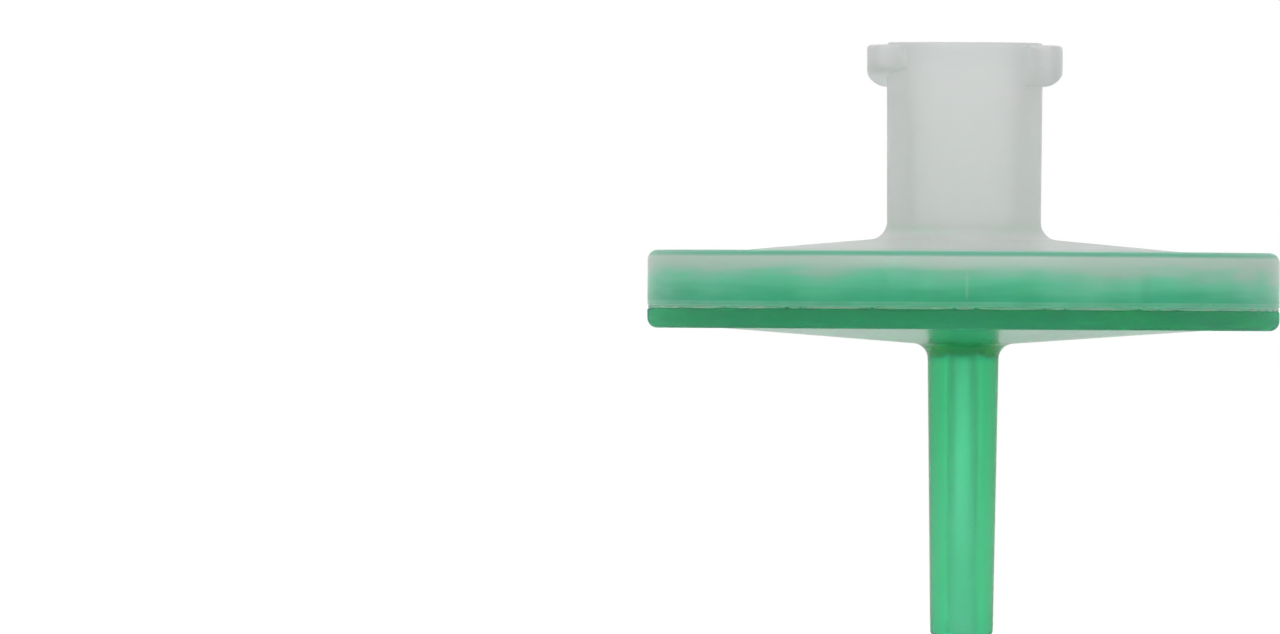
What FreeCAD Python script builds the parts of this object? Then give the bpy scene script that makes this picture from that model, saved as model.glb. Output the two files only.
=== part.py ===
# A syringe filter: a clear inlet housing with a luer lock socket, a green outlet housing with a slim
# nozzle, and a filter disc pinched between the two.
#
# Frame: the origin is the centre of the socket's mouth and +Z points out of the socket, so the filter
# hangs below z = 0 as it does on a syringe. The two luer lugs lie along X. Sizes are in millimetres.
import FreeCAD, Part
import math
import os

from FreeCAD import Vector

# Disc shared by both housings
disc_d = 25.2               # outside diameter of the welded disc
disc_edge_round = 0.40      # rounding of its top and bottom edges
skirt_thickness = 1.30      # outer wall of the inlet housing, round the tongue
tongue_thickness = 1.30     # upstanding weld tongue of the outlet housing
joint_clearance = 0.05      # all round the tongue, in the inlet housing's groove
seam_bevel = 0.10           # on both housings where they meet on the outside

# Luer lock socket and hub
socket_mouth_d = 4.30       # female luer, widest at the mouth
socket_taper = 0.06         # diameter lost for each mm of depth
socket_depth = 7.40
socket_lead_round = 0.12    # rounding of the mouth's inner edge
socket_floor_round = 0.20
inlet_hole_d = 2.00         # from the socket's floor into the chamber
hub_mouth_d = 6.22
hub_foot_d = 6.14
hub_height = 7.80           # from the mouth to the cone
hub_edge_round = 0.12
hub_fillet = 0.70           # where the hub grows out of the cone

# Luer lugs, two of them, with undersides that follow the syringe collar's two-start thread
lug_span = 7.81             # across both lugs
lug_tip_width = 2.93
lug_foot_width = 4.50       # where the flanks run into the hub
lug_set_down = 0.10         # top of the lugs below the mouth
lug_height = 1.33           # at the middle of a lug
lug_lead = 5.00             # rise of the underside in one full turn
lug_top_round = 0.18
lug_corner_round = 0.20     # upright corners, seen from above
lug_under_round = 0.45      # outer edge of the underside
lug_under_relief = 0.015    # by which that rounding would end outside the lug's face

# Inlet plate
rim_flat_width = 3.70       # flat band on top, outside the cone
inlet_cone_rise = 0.52      # height of the cone above that band
plate_thickness = 1.03      # under the flat band
tongue_cap = 0.66           # what covers the tongue's groove

# Filter disc and how it is held
membrane_thickness = 0.15
membrane_room = 0.425       # play all round in the pocket if it lay in the middle
membrane_wall_gap = 0.035   # what is left of it on the side to which the disc has slipped
membrane_slip_angle = 35.0  # degrees from +X towards +Y
clamp_width = 1.75          # ring that pinches the disc, measured in from the pocket's wall

# Ribs on both sides of the filter disc
rib_count = 5
rib_width = 0.60
rib_pitch = 1.20
rib_margin = 0.95           # from the clamp ring to the outermost rib
inlet_rib_height = 0.30
inlet_rib_gap = 0.05        # between the inlet ribs and the disc
drain_depth = 0.40          # height of the outlet ribs, which the disc lies on
spoke_count = 8             # radial channels through the ribs
spoke_width = 1.00

# Outlet housing
skirt_height = 2.28         # from the top of the rim down to the seam
flange_thickness = 0.83
flange_flat_width = 3.00    # flat band underneath, outside the cone
outlet_cone_drop = 0.60
nozzle_root_d = 2.85
nozzle_tip_d = 2.50
nozzle_length = 11.59       # below the cone
nozzle_fillet = 0.60
nozzle_tip_round = 0.18
outlet_hole_d = 1.00
hole_edge_round = 0.12

# Working values
overlap = 0.20              # how far one solid is pushed into another before the two are joined or cut
tolerance = 1e-6            # for finding an edge by its place

# Radii and heights that follow from the sizes above
disc_r = disc_d / 2
skirt_inner_r = disc_r - skirt_thickness
tongue_outer_r = skirt_inner_r - joint_clearance
pocket_r = tongue_outer_r - tongue_thickness
clamp_outer_r = pocket_r - joint_clearance
clamp_inner_r = pocket_r - clamp_width

rim_top_z = -(hub_height + inlet_cone_rise)
groove_roof_z = rim_top_z - tongue_cap
tongue_top_z = groove_roof_z - joint_clearance
chamber_roof_z = rim_top_z - plate_thickness
clamp_z = chamber_roof_z - inlet_rib_height - inlet_rib_gap
pocket_floor_z = clamp_z - membrane_thickness
drain_floor_z = pocket_floor_z - drain_depth
seam_z = rim_top_z - skirt_height
flange_bottom_z = seam_z - flange_thickness
nozzle_root_z = flange_bottom_z - outlet_cone_drop
nozzle_tip_z = nozzle_root_z - nozzle_length


def rounded_outline(corners):
    """Closed wire in the XZ plane through (radius, z, rounding) corners, with tangent arcs."""
    points = [Vector(radius, 0, z) for radius, z, rounding in corners]
    arcs = []
    for index, corner in enumerate(points):
        rounding = corners[index][2]
        back = (points[index - 1] - corner).normalize()
        ahead = (points[(index + 1) % len(points)] - corner).normalize()
        half_angle = back.getAngle(ahead) / 2
        reach = rounding / math.tan(half_angle)
        inward = (back + ahead).normalize()
        middle = corner + inward * (rounding / math.sin(half_angle) - rounding)
        arcs.append((corner + back * reach, middle, corner + ahead * reach))
    edges = []
    for index, (start, middle, end) in enumerate(arcs):
        if corners[index][2] > 0:
            edges.append(Part.Arc(start, middle, end).toShape())
        next_start = arcs[(index + 1) % len(arcs)][0]
        edges.append(Part.makeLine(end, next_start))
    return Part.Wire(edges)


def turned(corners):
    """Solid of revolution about Z from the outline through these corners."""
    face = Part.Face(rounded_outline(corners))
    return face.revolve(Vector(0, 0, 0), Vector(0, 0, 1), 360)


def ring(inner_r, outer_r, bottom_z, top_z):
    height = top_z - bottom_z
    base = Vector(0, 0, bottom_z)
    return Part.makeCylinder(outer_r, height, base).cut(Part.makeCylinder(inner_r, height, base))


def spoked_ribs(bottom_z, top_z):
    """Concentric ribs between these heights, cut through by radial channels."""
    outermost_r = clamp_inner_r - rib_margin - rib_width / 2
    ribs = []
    for index in range(rib_count):
        middle_r = outermost_r - index * rib_pitch
        ribs.append(ring(middle_r - rib_width / 2, middle_r + rib_width / 2, bottom_z, top_z))
    spokes = []
    for index in range(spoke_count):
        corner = Vector(0, -spoke_width / 2, bottom_z)
        spoke = Part.makeBox(clamp_inner_r, spoke_width, top_z - bottom_z, corner)
        spoke.rotate(Vector(0, 0, 0), Vector(0, 0, 1), index * 360 / spoke_count)
        spokes.append(spoke)
    return Part.makeCompound(ribs).cut(spokes)


def lug_block(bottom_z, top_z):
    """A lug on +X before the thread is cut, with straight flanks that run on into the hub."""
    outer_r = lug_span / 2
    root_r = (socket_mouth_d + hub_mouth_d) / 4
    tip = Vector(math.sqrt(outer_r ** 2 - (lug_tip_width / 2) ** 2), lug_tip_width / 2, 0)
    foot = Vector(math.sqrt((hub_mouth_d / 2) ** 2 - (lug_foot_width / 2) ** 2), lug_foot_width / 2, 0)
    flank = (foot - tip).normalize()
    one_side = [foot - flank * foot.dot(flank), tip - flank]
    other_side = [Vector(corner.x, -corner.y, 0) for corner in reversed(one_side)]
    plan = Part.Face(Part.makePolygon(one_side + other_side + [Vector(0, 0, 0), one_side[0]]))
    plan.translate(Vector(0, 0, bottom_z))
    block = plan.extrude(Vector(0, 0, top_z - bottom_z)).common(ring(root_r, outer_r, bottom_z, top_z))
    uprights = []
    for edge in block.Edges:
        middle = edge.CenterOfMass
        corner = Vector(tip.x, math.copysign(tip.y, middle.y), middle.z)
        if (middle - corner).Length < tolerance:
            uprights.append(edge)
    block = block.makeFillet(lug_corner_round, uprights)
    top_edges = []
    for edge in block.Edges:
        lies_on_top = min(vertex.Z for vertex in edge.Vertexes) > top_z - tolerance
        if lies_on_top and edge.CenterOfMass.x > foot.x:
            top_edges.append(edge)
    return block.makeFillet(lug_top_round, top_edges)


def thread_cutter(under_z, bottom_z):
    """Solid below a lug: a section with a hollow corner, swept along the thread past both flanks."""
    edge_r = lug_span / 2 + lug_under_relief
    outer_r = edge_r + overlap
    section = rounded_outline([
        (socket_mouth_d / 2, under_z, 0),
        (edge_r, under_z, lug_under_round),
        (edge_r, under_z + lug_under_round + overlap, 0),
        (outer_r, under_z + lug_under_round + overlap, 0),
        (outer_r, bottom_z, 0),
        (socket_mouth_d / 2, bottom_z, 0),
    ])
    half_sweep = 75.0
    climb = lug_lead * half_sweep / 360
    helix = Part.makeHelix(lug_lead, 2 * climb, edge_r)
    for shape in (section, helix):
        shape.rotate(Vector(0, 0, 0), Vector(0, 0, 1), -half_sweep)
        shape.translate(Vector(0, 0, -climb))
    return Part.Wire(helix.Edges).makePipeShell([section], True, True)


def luer_lugs():
    """Both lugs, half a turn apart."""
    under_z = -(lug_set_down + lug_height)
    bottom_z = under_z - lug_lead / 4
    cutter = thread_cutter(under_z, bottom_z - lug_lead / 4)
    first = lug_block(bottom_z, -lug_set_down).cut(cutter)
    second = first.copy()
    second.rotate(Vector(0, 0, 0), Vector(0, 0, 1), 180)
    return [first, second]


def inlet_housing():
    hub_mouth_r = hub_mouth_d / 2
    hub_foot_r = hub_foot_d / 2
    socket_floor_r = (socket_mouth_d - socket_taper * socket_depth) / 2
    body = turned([
        (socket_mouth_d / 2, 0, socket_lead_round),
        (hub_mouth_r, 0, hub_edge_round),
        (hub_foot_r, -hub_height, hub_fillet),
        (disc_r - rim_flat_width, rim_top_z, 0),
        (disc_r, rim_top_z, disc_edge_round),
        (disc_r, seam_z + seam_bevel, 0),
        (disc_r - seam_bevel, seam_z, 0),
        (skirt_inner_r, seam_z, 0),
        (skirt_inner_r, groove_roof_z, 0),
        (clamp_outer_r, groove_roof_z, 0),
        (clamp_outer_r, clamp_z, 0),
        (clamp_inner_r, clamp_z, 0),
        (clamp_inner_r, chamber_roof_z, 0),
        (inlet_hole_d / 2, chamber_roof_z, hole_edge_round),
        (inlet_hole_d / 2, -socket_depth, 0),
        (socket_floor_r, -socket_depth, socket_floor_round),
    ])
    ribs = spoked_ribs(clamp_z + inlet_rib_gap, chamber_roof_z + overlap)
    return body.fuse(luer_lugs() + [ribs]).removeSplitter().Solids[0]


def outlet_housing():
    nozzle_root_r = nozzle_root_d / 2
    body = turned([
        (outlet_hole_d / 2, drain_floor_z, hole_edge_round),
        (clamp_inner_r, drain_floor_z, 0),
        (clamp_inner_r, pocket_floor_z, 0),
        (pocket_r, pocket_floor_z, 0),
        (pocket_r, tongue_top_z, 0),
        (tongue_outer_r, tongue_top_z, 0),
        (tongue_outer_r, seam_z, 0),
        (disc_r - seam_bevel, seam_z, 0),
        (disc_r, seam_z - seam_bevel, 0),
        (disc_r, flange_bottom_z, disc_edge_round),
        (disc_r - flange_flat_width, flange_bottom_z, 0),
        (nozzle_root_r, nozzle_root_z, nozzle_fillet),
        (nozzle_tip_d / 2, nozzle_tip_z, nozzle_tip_round),
        (outlet_hole_d / 2, nozzle_tip_z, hole_edge_round),
    ])
    ribs = spoked_ribs(drain_floor_z - overlap, pocket_floor_z)
    return body.fuse([ribs]).removeSplitter().Solids[0]


def filter_membrane():
    """The disc, lying off centre in its pocket."""
    slip = membrane_room - membrane_wall_gap
    angle = math.radians(membrane_slip_angle)
    middle = Vector(slip * math.cos(angle), slip * math.sin(angle), pocket_floor_z)
    return Part.makeCylinder(pocket_r - membrane_room, membrane_thickness, middle)


nodes = {
    "inlet_housing": inlet_housing(),
    "outlet_housing": outlet_housing(),
    "filter_membrane": filter_membrane(),
}
os.makedirs("parts", exist_ok=True)
for name, shape in nodes.items():
    shape.exportStep(f"parts/{name}.step")
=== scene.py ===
import math
import random

import bmesh
import bpy
from mathutils import Matrix, Vector, noise


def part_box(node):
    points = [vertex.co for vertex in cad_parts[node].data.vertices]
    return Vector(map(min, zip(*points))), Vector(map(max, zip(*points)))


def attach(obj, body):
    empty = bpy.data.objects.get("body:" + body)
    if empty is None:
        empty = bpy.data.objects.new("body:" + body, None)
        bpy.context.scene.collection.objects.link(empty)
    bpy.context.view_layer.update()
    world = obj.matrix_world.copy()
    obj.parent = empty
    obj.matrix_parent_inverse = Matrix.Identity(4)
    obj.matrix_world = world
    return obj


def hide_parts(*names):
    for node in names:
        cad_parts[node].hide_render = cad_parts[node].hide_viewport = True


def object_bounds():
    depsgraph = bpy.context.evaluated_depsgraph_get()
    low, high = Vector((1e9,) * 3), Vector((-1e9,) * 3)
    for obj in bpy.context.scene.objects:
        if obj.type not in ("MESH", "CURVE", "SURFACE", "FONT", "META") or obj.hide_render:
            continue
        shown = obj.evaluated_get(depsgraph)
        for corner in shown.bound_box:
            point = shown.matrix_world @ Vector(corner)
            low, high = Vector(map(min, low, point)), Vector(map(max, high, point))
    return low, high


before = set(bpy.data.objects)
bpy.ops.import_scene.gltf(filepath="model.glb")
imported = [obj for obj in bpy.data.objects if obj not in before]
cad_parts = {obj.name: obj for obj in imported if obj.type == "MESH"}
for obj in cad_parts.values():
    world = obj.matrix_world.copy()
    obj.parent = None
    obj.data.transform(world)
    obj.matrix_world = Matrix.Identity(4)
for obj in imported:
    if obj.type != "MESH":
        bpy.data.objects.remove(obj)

cad_low, cad_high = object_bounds()

# ---------------------------------------------------------------------------------------------------
# Outlet housing. The lower half is one green polypropylene moulding: a flange with a tall tongue for
# the weld, a pocket for the filter disc, ribs that carry it and a slim nozzle below.
# It lies tongue up in the welding fixture, and everything else goes onto it.
MM = 0.001
outlet_low, outlet_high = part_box("outlet_housing")
disc_r = outlet_high.x
nozzle_tip_z = outlet_low.z
tongue_top_z = outlet_high.z
seam_z = tongue_top_z - 1.57 * MM
flange_bottom_z = seam_z - 0.83 * MM
nozzle_root_z = flange_bottom_z - 0.60 * MM
tongue_outer_r = disc_r - 1.35 * MM
pocket_r = tongue_outer_r - 1.30 * MM
clamp_inner_r = pocket_r - 1.75 * MM
pocket_floor_z = tongue_top_z - 0.82 * MM
drain_floor_z = pocket_floor_z - 0.40 * MM
flange_flat_width = 3.00 * MM
nozzle_root_r = 1.425 * MM
nozzle_tip_r = 1.25 * MM
outlet_hole_r = 0.50 * MM
rib_count = 5
rib_width = 0.60 * MM
rib_pitch = 1.20 * MM
rib_overlap = 0.20 * MM
outer_rib_r = clamp_inner_r - 1.25 * MM
channel_count = 8
channel_width = 1.00 * MM
disc_edge_round = 0.40 * MM
hole_edge_round = 0.12 * MM
tongue_edge_round = 0.15 * MM
inner_edge_round = 0.08 * MM
seam_edge_round = 0.05 * MM
seam_bevel = 0.10 * MM
weld_gap = 0.01 * MM
turned_steps = 256


def rounded_face(mesh, corners):
    """A flat face in the XZ plane through (radius, z, rounding) corners."""
    facet = 0.05 * MM
    points = [mesh.verts.new((radius, 0, z)) for radius, z, rounding in corners]
    mesh.faces.new(points)
    for point, (_, _, rounding) in zip(points, corners):
        if rounding > 0:
            arms = [edge.other_vert(point).co - point.co for edge in point.link_edges]
            reach = rounding / math.tan(arms[0].angle(arms[1]) / 2)
            segments = max(3, round(rounding / facet))
            bmesh.ops.bevel(mesh, geom=[point], offset=reach, offset_type="OFFSET", segments=segments,
                            profile=0.5, affect="VERTICES", material=-1)


def turned(*outlines):
    """Closed rings or bodies, one for each outline, turned about Z."""
    mesh = bmesh.new()
    for corners in outlines:
        rounded_face(mesh, corners)
    bmesh.ops.delete(mesh, geom=mesh.faces[:], context="FACES_ONLY")
    bmesh.ops.spin(mesh, geom=mesh.edges[:], cent=(0, 0, 0), axis=(0, 0, 1), angle=2 * math.pi,
                   steps=turned_steps, use_merge=True)
    bmesh.ops.remove_doubles(mesh, verts=mesh.verts, dist=0.001 * MM)
    bmesh.ops.recalc_face_normals(mesh, faces=mesh.faces)
    return mesh


def as_object(name, mesh):
    data = bpy.data.meshes.new(name)
    mesh.to_mesh(data)
    mesh.free()
    piece = bpy.data.objects.new(name, data)
    bpy.context.scene.collection.objects.link(piece)
    return piece


def merged(piece, operation, others):
    """The piece after each of the others is joined to it or cut out of it."""
    for other in others:
        modifier = piece.modifiers.new(other.name, "BOOLEAN")
        modifier.operation = operation
        modifier.solver = "MANIFOLD"
        modifier.object = other
    mesh = bmesh.new()
    mesh.from_object(piece, bpy.context.evaluated_depsgraph_get())
    # The cuts leave slivers far smaller than any real edge.
    sliver = 0.0002 * MM
    bmesh.ops.remove_doubles(mesh, verts=mesh.verts, dist=sliver)
    bmesh.ops.dissolve_degenerate(mesh, edges=mesh.edges, dist=sliver)
    piece.modifiers.clear()
    mesh.to_mesh(piece.data)
    mesh.free()
    for other in others:
        bpy.data.objects.remove(other)
    return piece


def spoked_ribs(low_z, high_z, crest_z):
    """Concentric ribs with rounded crests, cut through by radial channels."""
    crest_round = 0.08 * MM
    low_round = crest_round if crest_z == low_z else 0
    high_round = crest_round - low_round
    outlines = []
    for index in range(rib_count):
        inner_r = outer_rib_r - index * rib_pitch - rib_width / 2
        outer_r = inner_r + rib_width
        outlines.append([
            (inner_r, low_z, low_round),
            (outer_r, low_z, low_round),
            (outer_r, high_z, high_round),
            (inner_r, high_z, high_round),
        ])
    ribs = as_object("ribs", turned(*outlines))
    # Each cutter crosses the middle and makes two channels.
    channels = []
    for index in range(channel_count // 2):
        mesh = bmesh.new()
        bmesh.ops.create_cube(mesh, size=1)
        bmesh.ops.scale(mesh, vec=(3 * clamp_inner_r, channel_width, 2 * MM), verts=mesh.verts)
        bmesh.ops.translate(mesh, vec=(0, 0, (low_z + high_z) / 2), verts=mesh.verts)
        turn = Matrix.Rotation(2 * math.pi * index / channel_count, 3, "Z")
        bmesh.ops.rotate(mesh, cent=(0, 0, 0), matrix=turn, verts=mesh.verts)
        channels.append(as_object("channel", mesh))
    return merged(ribs, "DIFFERENCE", channels)


def finished(piece, material, node):
    """Smooth faces with crisp edges, the material, and the solid that the piece stands for."""
    crisp_angle = math.radians(32)
    piece.data.shade_smooth()
    piece.data.set_sharp_from_angle(angle=crisp_angle)
    piece.data.materials.append(material)
    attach(piece, "root")
    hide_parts(node)


outlet = as_object("outlet_moulding", turned([
    (outlet_hole_r, drain_floor_z, hole_edge_round),
    (clamp_inner_r, drain_floor_z, 0.06 * MM),
    (clamp_inner_r, pocket_floor_z, 0.06 * MM),
    (pocket_r, pocket_floor_z, 0.10 * MM),
    (pocket_r, tongue_top_z, tongue_edge_round),
    (tongue_outer_r, tongue_top_z, tongue_edge_round),
    (tongue_outer_r, seam_z - weld_gap, inner_edge_round),
    (disc_r - seam_bevel, seam_z - weld_gap, 0),
    (disc_r, seam_z - seam_bevel, seam_edge_round),
    (disc_r, flange_bottom_z, disc_edge_round),
    (disc_r - flange_flat_width, flange_bottom_z, 0),
    (nozzle_root_r, nozzle_root_z, 0.60 * MM),
    (nozzle_tip_r, nozzle_tip_z, 0.18 * MM),
    (outlet_hole_r, nozzle_tip_z, hole_edge_round),
]))
outlet = merged(outlet, "UNION", [spoked_ribs(drain_floor_z - rib_overlap, pocket_floor_z, pocket_floor_z)])


class Signal:
    """A value in a material's node tree. Arithmetic on signals adds Math nodes."""

    def __init__(self, tree, socket=None):
        self.tree = tree
        self.socket = socket

    def add(self, kind, settings=None, inputs=None, output=0):
        """A new node: its settings are made first, then values or signals go to its sockets."""
        node = self.tree.nodes.new(kind)
        for name, value in (settings or {}).items():
            setattr(node, name, value)
        for name, value in (inputs or {}).items():
            if isinstance(value, Signal):
                self.tree.links.new(value.socket, node.inputs[name])
            else:
                node.inputs[name].default_value = value
        return Signal(self.tree, node.outputs[output] if node.outputs else None)

    def math(self, operation, first, second=0.0):
        return self.add("ShaderNodeMath", {"operation": operation}, {0: first, 1: second})

    def __add__(self, other):
        return self.math("ADD", self, other)

    def __sub__(self, other):
        return self.math("SUBTRACT", self, other)

    def __rsub__(self, other):
        return self.math("SUBTRACT", other, self)

    def __mul__(self, other):
        return self.math("MULTIPLY", self, other)

    __radd__ = __add__
    __rmul__ = __mul__

    def size(self):
        """The value without its sign."""
        return self.math("ABSOLUTE", self)

    def between(self, low, high):
        """0 below low, 1 above high and smooth in between."""
        return self.add("ShaderNodeMapRange", {"interpolation_type": "SMOOTHSTEP"},
                        {"Value": self, "From Min": low, "From Max": high})

    def line(self, middle, width):
        """1 on a soft line about the middle value, 0 off it."""
        return 1 - (self - middle).size().between(width * 0.3, width * 0.7)

    def blend(self, first, second):
        """From the first colour at 0 to the second at 1."""
        return self.add("ShaderNodeMix", {"data_type": "RGBA"}, {0: self, 6: first, 7: second}, 2)


def distance(x, y):
    """How far (x, y) is from the middle."""
    return x.math("SQRT", x * x + y * y)


def cleared_material(name):
    """A new material with an empty node tree, and the first signal in that tree."""
    material = bpy.data.materials.new(name)
    material.use_nodes = True
    material.node_tree.nodes.clear()
    return material, Signal(material.node_tree)


def place_in_mm(start):
    """A point's place on the object, in millimetres."""
    place = start.add("ShaderNodeTexCoord", output="Object")
    return start.add("ShaderNodeVectorMath", {"operation": "SCALE"}, {0: place, "Scale": 1 / MM})


def moulded_plastic(name, colour_of, roughness, matt_rim, transmission, ior, haze_radius, absorption):
    """See-through moulded polypropylene, with the marks of the tool that shaped it."""
    material, start = cleared_material(name)
    place = place_in_mm(start)
    x, y, z = (start.add("ShaderNodeSeparateXYZ", {}, {0: place}, axis) for axis in range(3))
    radius = distance(x, y)
    flow = start.add("ShaderNodeTexNoise", {}, {"Vector": place, "Scale": 0.45, "Detail": 3.0})
    grain = start.add("ShaderNodeTexNoise", {}, {"Vector": place, "Scale": 7.0, "Detail": 2.0})
    drawn_place = start.add("ShaderNodeVectorMath", {"operation": "MULTIPLY"}, {0: place, 1: (5, 5, 0.35)})
    drawn = start.add("ShaderNodeTexNoise", {}, {"Vector": drawn_place, "Scale": 1.0, "Detail": 2.0})
    turning_pitch = 0.35
    turning = start.math("SINE", radius * (2 * math.pi / turning_pitch)) * 0.5 + 0.5
    height = grain * 0.15 + drawn * 0.15 + turning * 0.1
    bump = start.add("ShaderNodeBump", {}, {"Height": height, "Strength": 0.5, "Distance": 0.004 * MM})
    rim = radius.between(disc_r / MM - 0.40, disc_r / MM - 0.25)
    shader = start.add("ShaderNodeBsdfPrincipled", {}, {
        "Base Color": colour_of(x, y, z, flow),
        "Roughness": flow * 0.06 + roughness + rim * matt_rim,
        "Normal": bump,
        "IOR": ior,
        "Transmission Weight": transmission,
        "Subsurface Weight": 1.0,
        "Subsurface Radius": haze_radius,
        "Subsurface Scale": MM,
    })
    colour, density = absorption
    inside = start.add("ShaderNodeVolumeAbsorption", {}, {"Color": colour, "Density": density / MM})
    start.add("ShaderNodeOutputMaterial", {}, {"Surface": shader, "Volume": inside})
    return material


def green_colour(x, y, z, flow):
    """Deep green in the thick flange and lighter down the nozzle, with painted shade at the nozzle's root
    and a painted pale core on the wall of its bore.
    """
    tip = nozzle_tip_z / MM
    root = nozzle_root_z / MM
    bore_r = outlet_hole_r / MM
    uneven = flow.between(0.3, 0.7)
    flange = uneven.blend((0.19, 0.88, 0.72, 1), (0.23, 0.92, 0.80, 1))
    nozzle_end = uneven.blend((0.34, 0.92, 0.59, 1), (0.40, 0.94, 0.65, 1))
    nozzle_wall = z.between(tip, root).blend(nozzle_end, (0.26, 0.82, 0.50, 1))
    # Painted light: the bore's wall is near white, palest towards the tip, for the light that the bore
    # catches.
    painted_bore_light = z.between(root - 5.0, root).blend((1.00, 0.92, 1.00, 1), (0.80, 0.75, 0.82, 1))
    nozzle = distance(x, y).between(bore_r + 0.12, bore_r + 0.32).blend(painted_bore_light, nozzle_wall)
    # Painted shade: a darker band at the nozzle's root, where the fillet looks at the dark underside of the
    # flange.
    shaded_neck = z.between(root - 0.80, root - 0.42).blend(nozzle, (0.18, 0.68, 0.50, 1))
    return z.between(root + 0.10, root + 0.30).blend(shaded_neck, flange)


green_plastic = moulded_plastic("green_polypropylene", green_colour, roughness=0.20, matt_rim=0.65,
                                transmission=0.84, ior=1.40, haze_radius=(0.8, 2.0, 1.4),
                                absorption=((0.10, 0.94, 0.72, 1), 0.8))
finished(outlet, green_plastic, "outlet_housing")

# ---------------------------------------------------------------------------------------------------
# Filter disc. A dull white microporous film, punched from a roll, so its edge is a little ragged.
# It lies loose on the outlet ribs, slipped to one side of its pocket, until the inlet half pinches it.
film_low, film_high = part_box("filter_membrane")
film_r = (film_high.x - film_low.x) / 2
wave_depth = 0.05 * MM
nick_depth = 0.03 * MM
film_gap = 0.01 * MM
film_thickness = film_high.z - film_low.z - 2 * film_gap
film_middle = (film_low + film_high) / 2
film_middle.z = film_low.z + film_gap

film = bmesh.new()
bmesh.ops.create_circle(film, cap_ends=True, segments=turned_steps, radius=film_r)
for point in film.verts:
    wave = noise.noise(point.co * 2.2 / MM) * wave_depth
    nick = noise.noise(point.co * 6 / MM) * nick_depth
    point.co -= point.co.normalized() * abs(wave + nick)
raised = bmesh.ops.extrude_face_region(film, geom=film.faces[:])
top_points = [item for item in raised["geom"] if isinstance(item, bmesh.types.BMVert)]
bmesh.ops.translate(film, vec=(0, 0, film_thickness), verts=top_points)
bmesh.ops.recalc_face_normals(film, faces=film.faces)
bmesh.ops.translate(film, vec=film_middle, verts=film.verts)
membrane = as_object("membrane_film", film)

microporous_film, start = cleared_material("microporous_film")
place = place_in_mm(start)
patches = start.add("ShaderNodeTexNoise", {}, {"Vector": place, "Scale": 1.4, "Detail": 4.0})
pores = start.add("ShaderNodeTexVoronoi", {}, {"Vector": place, "Scale": 22.0})
fibres = start.add("ShaderNodeTexNoise", {}, {"Vector": place, "Scale": 16.0, "Detail": 3.0})
film_bump = start.add("ShaderNodeBump", {}, {"Height": pores * 0.6 + fibres * 0.6, "Strength": 0.7,
                                             "Distance": 0.02 * MM})
film_shader = start.add("ShaderNodeBsdfPrincipled", {}, {
    "Base Color": patches.between(0.35, 0.65).blend((0.91, 0.925, 0.91, 1), (0.95, 0.96, 0.95, 1)),
    "Roughness": fibres * 0.15 + 0.75,
    "Normal": film_bump,
    "IOR": 1.40,
})
start.add("ShaderNodeOutputMaterial", {}, {"Surface": film_shader})
finished(membrane, microporous_film, "filter_membrane")

# ---------------------------------------------------------------------------------------------------
# Inlet housing. The upper half is one milky polypropylene moulding: a plate with a skirt that drops
# over the tongue, a ring that pinches the filter disc, shallow ribs and the hub with its luer socket.
# It is pressed down over the tongue and welded to the flange all round.
_, inlet_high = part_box("inlet_housing")
hub_mouth_z = inlet_high.z
hub_foot_z = hub_mouth_z - 7.80 * MM
rim_top_z = hub_foot_z - 0.52 * MM
socket_floor_z = hub_mouth_z - 7.40 * MM
chamber_roof_z = rim_top_z - 1.03 * MM
groove_roof_z = tongue_top_z + 0.05 * MM
clamp_z = film_high.z
inlet_rib_z = clamp_z + 0.05 * MM
clamp_outer_r = pocket_r - 0.05 * MM
skirt_inner_r = tongue_outer_r + 0.05 * MM
rim_flat_width = 3.70 * MM
socket_mouth_r = 2.15 * MM
socket_floor_r = 1.928 * MM
inlet_hole_r = 1.00 * MM
hub_mouth_r = 3.11 * MM
hub_foot_r = 3.07 * MM

inlet = as_object("inlet_moulding", turned([
    (socket_mouth_r, hub_mouth_z, hole_edge_round),
    (hub_mouth_r, hub_mouth_z, 0.12 * MM),
    (hub_foot_r, hub_foot_z, 0.70 * MM),
    (disc_r - rim_flat_width, rim_top_z, 0),
    (disc_r, rim_top_z, disc_edge_round),
    (disc_r, seam_z + seam_bevel, seam_edge_round),
    (disc_r - seam_bevel, seam_z + weld_gap, 0),
    (skirt_inner_r, seam_z + weld_gap, 0.05 * MM),
    (skirt_inner_r, groove_roof_z, tongue_edge_round),
    (clamp_outer_r, groove_roof_z, tongue_edge_round),
    (clamp_outer_r, clamp_z, inner_edge_round),
    (clamp_inner_r, clamp_z, inner_edge_round),
    (clamp_inner_r, chamber_roof_z, inner_edge_round),
    (inlet_hole_r, chamber_roof_z, hole_edge_round),
    (inlet_hole_r, socket_floor_z, 0),
    (socket_floor_r, socket_floor_z, 0.20 * MM),
]))


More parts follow.
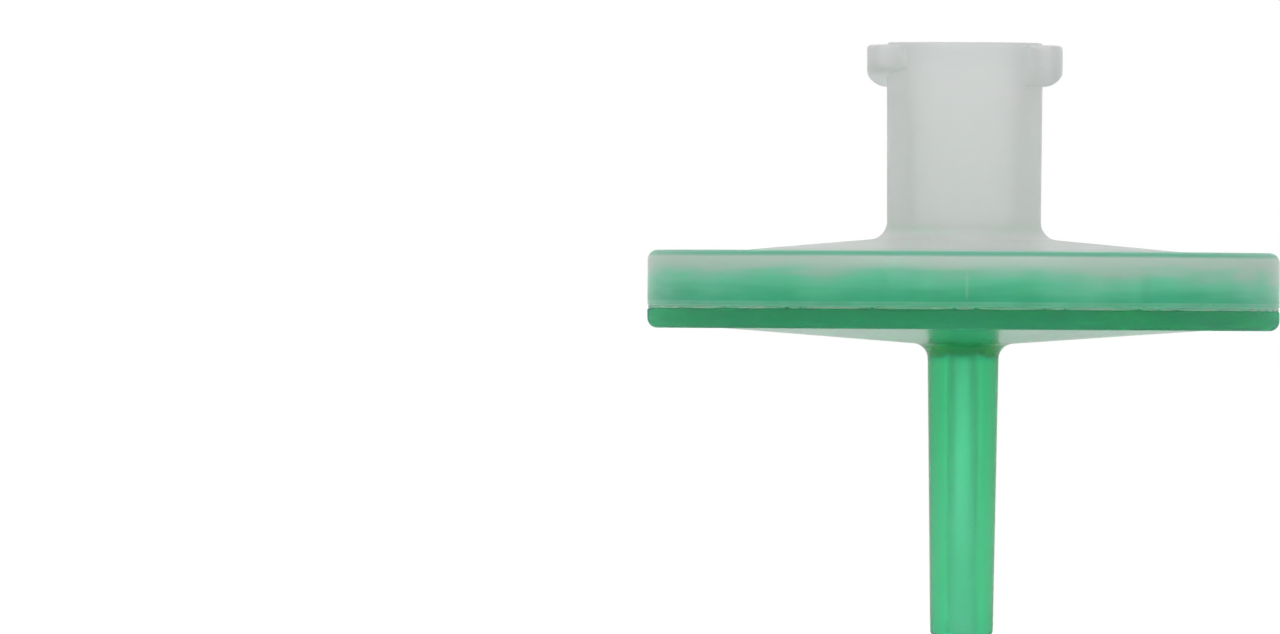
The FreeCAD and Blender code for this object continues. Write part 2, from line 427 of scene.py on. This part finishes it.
def luer_lug(turn):
    """A lug: a section swept round the hub, with straight flanks and a right-hand thread underneath."""
    tip_r = 3.905 * MM
    root_r = (socket_mouth_r + hub_mouth_r) / 2
    top_z = hub_mouth_z - 0.10 * MM
    under_z = top_z - 1.33 * MM
    thread_lead = 6.00 * MM
    tip_half_width = 1.465 * MM
    foot_half_width = 2.25 * MM
    flank_round = 0.14 * MM
    tip_half_angle = math.asin(tip_half_width / tip_r)
    foot_half_angle = math.asin(foot_half_width / hub_mouth_r)
    mesh = bmesh.new()
    rounded_face(mesh, [
        (root_r, top_z, 0),
        (tip_r, top_z, 0.18 * MM),
        (tip_r, under_z, 0.36 * MM),
        (root_r, under_z, 0),
    ])
    bmesh.ops.delete(mesh, geom=mesh.faces[:], context="FACES_ONLY")
    bmesh.ops.rotate(mesh, cent=(0, 0, 0), matrix=Matrix.Rotation(-tip_half_angle, 3, "Z"), verts=mesh.verts)
    first = mesh.edges[:]
    swept = bmesh.ops.spin(mesh, geom=first, cent=(0, 0, 0), axis=(0, 0, 1), angle=2 * tip_half_angle,
                           steps=8, use_merge=False)
    last = [item for item in swept["geom_last"] if isinstance(item, bmesh.types.BMEdge)]
    flank_edges = []
    for loop in (first, last):
        for flank in bmesh.ops.contextual_create(mesh, geom=loop)["faces"]:
            for edge in flank.edges:
                if max(point.co.xy.length for point in edge.verts) > root_r + 0.01 * MM:
                    flank_edges.append(edge)
    bmesh.ops.recalc_face_normals(mesh, faces=mesh.faces)
    bmesh.ops.bevel(mesh, geom=flank_edges, offset=flank_round, offset_type="OFFSET", segments=3,
                    profile=0.5, affect="EDGES", material=-1)
    # The lug widens from its tip down to its foot on the hub.
    widening = (foot_half_angle / tip_half_angle - 1) / (tip_r - hub_mouth_r)
    for point in mesh.verts:
        reach = point.co.xy.length
        angle = math.atan2(point.co.y, point.co.x)
        if point.co.z < (top_z + under_z) / 2:
            point.co.z += thread_lead * angle / (2 * math.pi)
        angle *= 1 + widening * (tip_r - reach)
        point.co.x = reach * math.cos(angle)
        point.co.y = reach * math.sin(angle)
    bmesh.ops.rotate(mesh, cent=(0, 0, 0), matrix=Matrix.Rotation(turn, 3, "Z"), verts=mesh.verts)
    bmesh.ops.recalc_face_normals(mesh, faces=mesh.faces)
    return as_object("lug", mesh)


inlet = merged(inlet, "UNION", [
    luer_lug(0),
    luer_lug(math.pi),
    spoked_ribs(inlet_rib_z, chamber_roof_z + rib_overlap, inlet_rib_z),
])


def cloud(x, y, z, scale, detail):
    """Soft noise over a place, as a signal of about 0.5."""
    place = x.add("ShaderNodeCombineXYZ", {}, {0: x, 1: y, 2: z})
    return x.add("ShaderNodeTexNoise", {}, {"Vector": place, "Scale": scale, "Detail": detail})


def face_colour(x, y, z, flow, broken):
    """The hub and the plate, seen from above, painted with light and shade: a shaded hub mouth, a white
    socket, pale lines along the ribs, and the green tongue showing through.
    """
    white = (1.0, 1.0, 1.0, 1)
    radius = distance(x, y)
    hub_r = hub_mouth_r / MM
    hub_foot = hub_foot_z / MM
    hub_mouth = hub_mouth_z / MM
    hub = flow.between(0.3, 0.7).blend((0.965, 0.95, 0.955, 1), (0.99, 0.975, 0.975, 1))
    off_hub = radius.between(hub_r + 0.09, hub_r + 1.29) * (1 - z.between(hub_foot + 0.8, hub_foot + 1.8))
    plate = off_hub.blend(hub, (0.875, 0.93, 0.905, 1))
    in_hub = 1 - radius.between(hub_r + 0.04, hub_r + 0.19)
    # Painted shade: the hub darkens towards its mouth, and the lugs stay out of it.
    mouth_shade = z.between(hub_mouth - 1.8, hub_mouth - 0.2) * in_hub
    mouth_shaded = mouth_shade.blend(plate, (0.83, 0.86, 0.85, 1))
    # Painted light: the deep socket is painted white, as if lit inside.
    socket_r = socket_mouth_r / MM
    lit_socket = radius.between(socket_r + 0.05, socket_r + 0.20).blend(white, mouth_shaded)

    # Painted highlights: broken pale lines along the ribs' edges, seen through the plate.
    rib_highlights = radius.line(outer_rib_r / MM + 0.35, 0.16)
    for index in range(3):
        rib_highlights = rib_highlights + radius.line((outer_rib_r - index * rib_pitch) / MM - 0.25, 0.20)
    ribbed = (rib_highlights * (broken * 0.7 + 0.1)).blend(lit_socket, white)
    # Painted shade: a darker teal line at the clamp ring's inner edge, seen through the plate.
    clamp_line = radius.line(clamp_inner_r / MM - 0.05, 0.42)
    clamped = (clamp_line * (flow * 0.8 + 0.1)).blend(ribbed, (0.62, 0.84, 0.76, 1))

    # Painted light: the green of the pocket floor, the tongue and the skirt's top showing through the plate.
    from_film = distance(x - film_middle.x / MM, y - film_middle.y / MM)
    past_film = from_film.between(film_r / MM - 0.05, film_r / MM + 0.05)
    pocket = past_film.blend(clamped, (0.22, 0.76, 0.52, 1))
    tongue_inner = pocket_r / MM
    tongue = radius.between(tongue_inner - 0.06, tongue_inner + 0.06).blend(pocket, (0.10, 0.64, 0.33, 1))
    skirt_inner = skirt_inner_r / MM
    skirt_top = radius.between(skirt_inner - 0.1, skirt_inner + 0.1).blend(tongue, (0.29, 0.75, 0.55, 1))
    weld_line = radius.line(skirt_inner, 0.10) * broken
    welded = weld_line.blend(skirt_top, (0.80, 0.95, 0.88, 1))
    # Painted highlight: a broken whitish line at the pocket's edge, beyond the film.
    pocket_edge_highlight = radius.line(tongue_inner - 0.12, 0.08) * past_film * broken
    return pocket_edge_highlight.blend(welded, (0.75, 0.93, 0.86, 1))


def skirt_colour(x, y, z, broken):
    """The outer wall: milky at the top and painted green lower down, where the flange and tongue shine
    through, with painted shade at its top edge and painted highlights at the seam.
    """
    rim_top = rim_top_z / MM
    seam = seam_z / MM
    low_clouds = cloud(x, y, 0.0, 0.22, 1.0)
    streaks = cloud(x * 0.3, y * 0.3, z * 2.5, 1.0, 2.0)
    height = z + (low_clouds - 0.5) * 1.1 + (streaks - 0.5) * 0.9
    # Painted light: the green of the tongue and flange showing through the wall, deepest near the seam.
    upper = height.between(seam + 0.85, seam + 1.85).blend((0.24, 0.84, 0.57, 1), (0.66, 0.80, 0.73, 1))
    wall = height.between(seam + 0.20, seam + 1.10).blend((0.08, 0.62, 0.38, 1), upper)
    # Painted shade: a dark green line along the rounded top edge, where the corner bends in the tongue's
    # green.
    shaded_top_edge = z.between(rim_top - 0.28, rim_top - 0.14).blend(wall, (0.16, 0.54, 0.39, 1))
    # Painted highlights: a broken pale line just above the seam, and a pale line on the seam's bevel, which
    # lies in shade.
    seam_highlights = z.line(seam + 0.20, 0.12) * (broken * 0.15 + 0.35) + z.line(seam + 0.05, 0.14) * 0.8
    return seam_highlights.blend(shaded_top_edge, (0.42, 0.86, 0.68, 1))


def milky_colour(x, y, z, flow):
    """The haze is nearly white, with the green light of the plastic that lies under it painted in."""
    broken = cloud(x, y, 0.0, 1.1, 3.0).between(0.42, 0.56)
    outer_wall = distance(x, y).between(disc_r / MM - 0.35, disc_r / MM - 0.15)
    housing = outer_wall.blend(face_colour(x, y, z, flow, broken), skirt_colour(x, y, z, broken))
    # The mould's parting line shows as a faint pale mark on the rim and at the hub's foot.
    parting = x.line(0.0, 0.10) * (z.line(seam_z / MM + 0.95, 1.0) + z.line(hub_foot_z / MM + 0.35, 0.5))
    return (parting * 0.25).blend(housing, (0.90, 0.98, 0.95, 1))


milky_haze = ((0.50, 0.90, 0.70, 1), 0.005)
milky_plastic = moulded_plastic("milky_polypropylene", milky_colour, roughness=0.30, matt_rim=0.0,
                                transmission=0.46, ior=1.45, haze_radius=(3.0, 3.4, 3.2),
                                absorption=milky_haze)
finished(inlet, milky_plastic, "inlet_housing")

# ---------------------------------------------------------------------------------------------------
# Weld flash. Short, thin beads of milky plastic that the weld squeezed out into the seam's notch.
# They lie in the notch all round, just short of the rim, and nobody trims them off.
chance = random.Random(11)
bead_r = disc_r - 0.060 * MM
bead_thickness = 0.048 * MM
bead_sides = 6
# Lengths along the seam are angles in radians.
shortest_bead = 0.04
longest_bead = 0.26
largest_gap = 0.02
sweep_step = 0.02

# This stands a flat ring up across the seam.
upright = Matrix.Rotation(math.pi / 2, 3, "X") @ Matrix.Rotation(math.pi / 2, 3, "Z")
flash = bmesh.new()
bead_start = 0.0
while bead_start < 2 * math.pi:
    bead_length = chance.uniform(shortest_bead, longest_bead)
    earlier_points = len(flash.verts)
    section = bmesh.ops.create_circle(flash, segments=bead_sides, radius=bead_thickness)["verts"]
    bmesh.ops.rotate(flash, cent=(0, 0, 0), matrix=upright, verts=section)
    bmesh.ops.translate(flash, vec=(bead_r, 0, seam_z), verts=section)
    section_edges = [edge for edge in flash.edges if edge.is_wire]
    bmesh.ops.spin(flash, geom=section_edges, cent=(0, 0, 0), axis=(0, 0, 1), angle=bead_length,
                   steps=max(6, round(bead_length / sweep_step)), use_merge=False)
    flash.verts.ensure_lookup_table()
    bead_points = flash.verts[earlier_points:]
    # A bead swells from half its thickness at each end.
    for point in bead_points:
        along = math.atan2(point.co.y, point.co.x) / bead_length
        swell = 0.5 + 0.5 * math.sqrt(max(0.0, math.sin(math.pi * along)))
        middle = Vector((point.co.x, point.co.y, 0)).normalized() * bead_r
        middle.z = seam_z
        point.co = middle + (point.co - middle) * swell
    bmesh.ops.rotate(flash, cent=(0, 0, 0), matrix=Matrix.Rotation(bead_start, 3, "Z"), verts=bead_points)
    bead_start += bead_length + chance.uniform(0.0, largest_gap)
bmesh.ops.holes_fill(flash, edges=flash.edges, sides=bead_sides)
bmesh.ops.recalc_face_normals(flash, faces=flash.faces)
weld_flash = as_object("weld_flash", flash)


def flash_colour(x, y, z, flow):
    """Green where a bead is melted in, and whitish where it stands off."""
    return flow.between(0.46, 0.58).blend((0.40, 0.82, 0.64, 1), (0.88, 1.00, 0.96, 1))


flash_plastic = moulded_plastic("weld_flash", flash_colour, roughness=0.40, matt_rim=0.0,
                                transmission=0.20, ior=1.45, haze_radius=(1.0, 1.2, 1.1),
                                absorption=milky_haze)
weld_flash.data.shade_smooth()
weld_flash.data.materials.append(flash_plastic)
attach(weld_flash, "root")

# ---------------------------------------------------------------------------------------------------
# Studio. A round pale light table just below the nozzle, soft light from all round and a long lens
# level with the disc. The light falls off to both sides and grows overhead, and a small white card
# straight behind the object brightens what is seen through it. The lens itself sees a white page.
table_r = 70 * MM
table_gap = 0.30 * MM
table_mesh = bmesh.new()
bmesh.ops.create_circle(table_mesh, cap_ends=True, segments=128, radius=table_r)
bmesh.ops.translate(table_mesh, vec=(0, 0, cad_low.z - table_gap), verts=table_mesh.verts)
table = as_object("light_table", table_mesh)
table_surface, start = cleared_material("light_table")
seen_directly = start.add("ShaderNodeLightPath", output="Is Camera Ray")
table_shader = start.add("ShaderNodeBsdfPrincipled", {}, {
    "Base Color": (0.90, 0.90, 0.90, 1),
    "Roughness": 0.7,
    "Emission Color": seen_directly.blend((0.02, 0.02, 0.02, 1), (0.42, 0.42, 0.42, 1)),
    "Emission Strength": 1.0,
})
start.add("ShaderNodeOutputMaterial", {}, {"Surface": table_shader})
table.data.materials.append(table_surface)

scene = bpy.context.scene
scene.world = bpy.data.worlds.new("studio")
scene.world.use_nodes = True
scene.world.node_tree.nodes.clear()
start = Signal(scene.world.node_tree)
seen_directly = start.add("ShaderNodeLightPath", output="Is Camera Ray")
direction = start.add("ShaderNodeTexCoord", output="Generated")
aside, behind, up = (start.add("ShaderNodeSeparateXYZ", {}, {0: direction}, axis) for axis in range(3))
side_fall = aside.size().between(0.25, 0.90) * 0.16
overhead = up.between(0.15, 0.90) * 0.32
card = behind.between(0.955, 0.985) * (1 - up.size().between(0.06, 0.13)) * 0.55
light = 0.72 - side_fall + overhead + card
room = start.add("ShaderNodeBackground", {}, {"Color": (1, 1, 1, 1), "Strength": light})
page = start.add("ShaderNodeBackground", {}, {"Color": (1, 1, 1, 1), "Strength": 1.0})
sky = start.add("ShaderNodeMixShader", {}, {0: seen_directly, 1: room, 2: page})
start.add("ShaderNodeOutputWorld", {}, {"Surface": sky})

scene.view_settings.view_transform = "Standard"
scene.cycles.max_bounces = 24
scene.cycles.transmission_bounces = 24
scene.cycles.transparent_max_bounces = 24
scene.cycles.diffuse_bounces = 12
scene.cycles.glossy_bounces = 24
scene.cycles.blur_glossy = 0

camera_distance = 1200 * MM
view_width = 51.03 * MM
view_middle_x = -12.89 * MM
view_middle_z = (cad_low.z + cad_high.z) / 2 + 0.80 * MM
camera_roll = math.radians(-0.34)
camera_data = bpy.data.cameras.new("camera")
camera_data.sensor_width = 36
camera_data.lens = camera_data.sensor_width * camera_distance / view_width
camera_data.clip_start = 0.01
camera_data.clip_end = 10
camera = bpy.data.objects.new("camera", camera_data)
scene.collection.objects.link(camera)
camera.location = (view_middle_x, -camera_distance, view_middle_z)
camera.rotation_euler = (math.radians(90), camera_roll, 0)
scene.camera = camera
